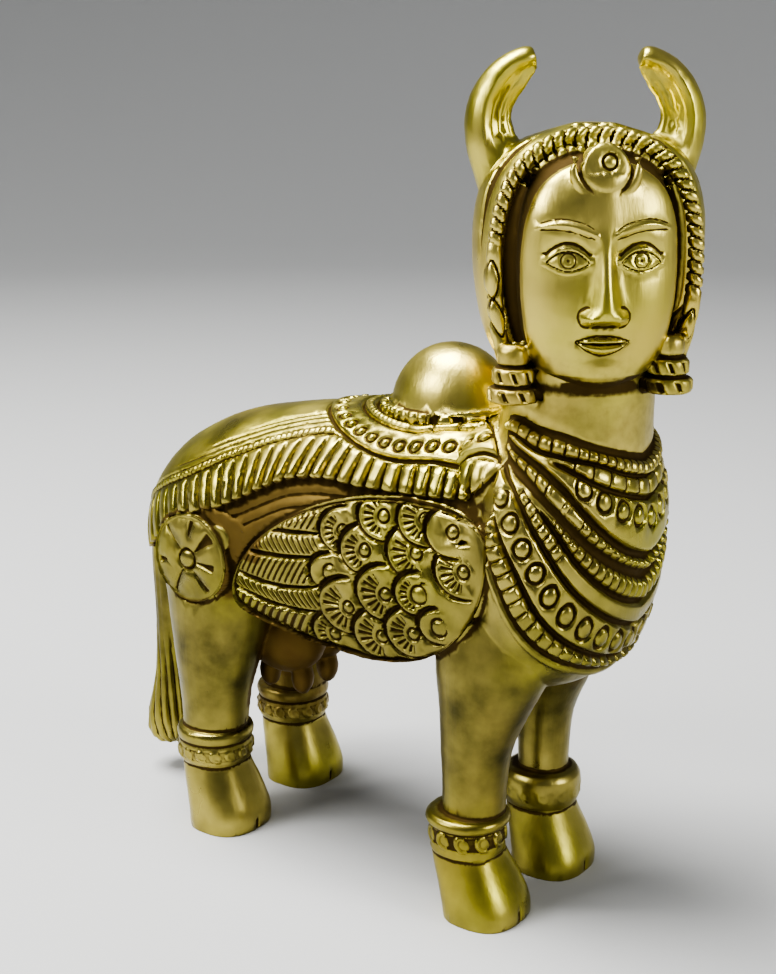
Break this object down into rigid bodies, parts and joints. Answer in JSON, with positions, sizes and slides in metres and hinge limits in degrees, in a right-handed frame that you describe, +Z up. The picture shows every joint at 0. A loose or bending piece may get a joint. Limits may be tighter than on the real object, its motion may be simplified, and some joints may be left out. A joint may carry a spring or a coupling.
{
  "type": "kamdhenu cow statue",
  "caption": "Cast brass figure of a winged cow with a woman's crowned head, horns, hump and engraved ornament, standing on its four hooves.",
  "frame": {"origin": "bottom centre of the whole casting's box, on the surface that it stands on", "axes": "+Z up, +X towards the breast, +Y to the cow's left; the head is turned about 50 degrees to the cow's right"},
  "size_m": [0.1212, 0.0432, 0.15],
  "materials": {
    "brass": "cast yellow brass, filed and brushed, with dark patina in the engraved lines and hollows"
  },
  "bodies": {
    "root": {"kamdhenu_figure": "brass"}
  },
  "joints": []
}
